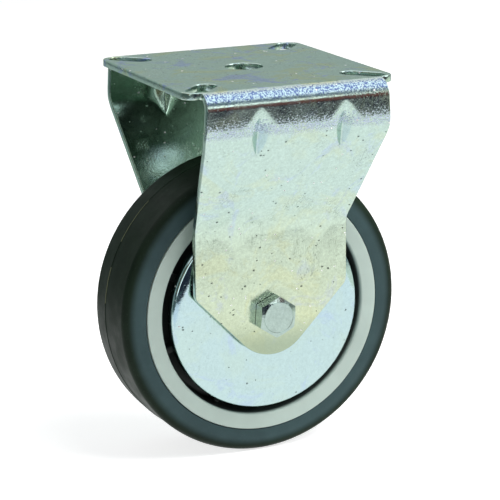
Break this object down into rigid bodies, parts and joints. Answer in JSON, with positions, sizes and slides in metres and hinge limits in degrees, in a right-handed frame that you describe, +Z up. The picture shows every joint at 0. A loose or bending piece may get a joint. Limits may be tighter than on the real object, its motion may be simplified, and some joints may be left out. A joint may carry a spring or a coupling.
{
  "type": "fixed castor",
  "caption": "Fixed castor: folded zinc-plated bracket with a slotted top plate, grey rubber-tyred wheel on ball bearings, bolted axle and pressed thread guards.",
  "frame": {"origin": "on the floor under the middle of the wheel, where the tread touches", "axes": "+X is the rolling direction, +Y runs along the axle from the bolt head to the nut, +Z points up to the top plate"},
  "size_m": [0.125, 0.1066, 0.162],
  "materials": {
    "bracket_zinc": "bright zinc plating on pressed steel with a faint yellow and violet bloom, fine scratches and specks",
    "tyre_rubber": "matt grey-black moulded rubber with a thin mould seam",
    "wheel_plastic": "light grey moulded plastic with a slight gloss",
    "guard_zinc": "bright zinc plating on thin pressed sheet",
    "fastener_zinc": "bright zinc plating",
    "nylon_ring": "blue nylon",
    "bearing_steel": "ground bearing steel",
    "shield_steel": "pressed sheet steel",
    "ball_steel": "polished",
    "cage_nylon": "natural nylon"
  },
  "bodies": {
    "fork": {"bracket": "bracket_zinc", "axle_bolt": "fastener_zinc", "lock_nut": "fastener_zinc", "nut_nylon_ring": "nylon_ring", "axle_sleeve": "fastener_zinc", "near_spacer": "fastener_zinc", "far_spacer": "fastener_zinc", "near_thread_guard": "guard_zinc", "far_thread_guard": "guard_zinc", "near_bearing_inner_ring": "bearing_steel", "far_bearing_inner_ring": "bearing_steel"},
    "wheel": {"tyre": "tyre_rubber", "wheel_centre": "wheel_plastic", "near_bearing_outer_ring": "bearing_steel", "near_bearing_outer_shield": "shield_steel", "near_bearing_inner_shield": "shield_steel", "far_bearing_outer_ring": "bearing_steel", "far_bearing_outer_shield": "shield_steel", "far_bearing_inner_shield": "shield_steel"},
    "near_ball_set": {"near_ball_cage": "cage_nylon", "near_ball_1": "ball_steel", "near_ball_2": "ball_steel", "near_ball_3": "ball_steel", "near_ball_4": "ball_steel", "near_ball_5": "ball_steel", "near_ball_6": "ball_steel", "near_ball_7": "ball_steel", "near_ball_8": "ball_steel"},
    "far_ball_set": {"far_ball_cage": "cage_nylon", "far_ball_1": "ball_steel", "far_ball_2": "ball_steel", "far_ball_3": "ball_steel", "far_ball_4": "ball_steel", "far_ball_5": "ball_steel", "far_ball_6": "ball_steel", "far_ball_7": "ball_steel", "far_ball_8": "ball_steel"}
  },
  "joints": [
    {"name": "wheel_spin", "type": "hinge", "parent": "fork", "child": "wheel", "pos_m": [0, 0, 0.0625], "axis": [0, 1, 0], "continuous": true},
    {"name": "near_ball_set_spin", "type": "hinge", "parent": "fork", "child": "near_ball_set", "pos_m": [0, 0, 0.0625], "axis": [0, 1, 0], "continuous": true},
    {"name": "far_ball_set_spin", "type": "hinge", "parent": "fork", "child": "far_ball_set", "pos_m": [0, 0, 0.0625], "axis": [0, 1, 0], "continuous": true}
  ],
  "couplings": [
    {"joint": "near_ball_set_spin", "follows": "wheel_spin", "ratio": 0.6187},
    {"joint": "far_ball_set_spin", "follows": "wheel_spin", "ratio": 0.6187}
  ]
}
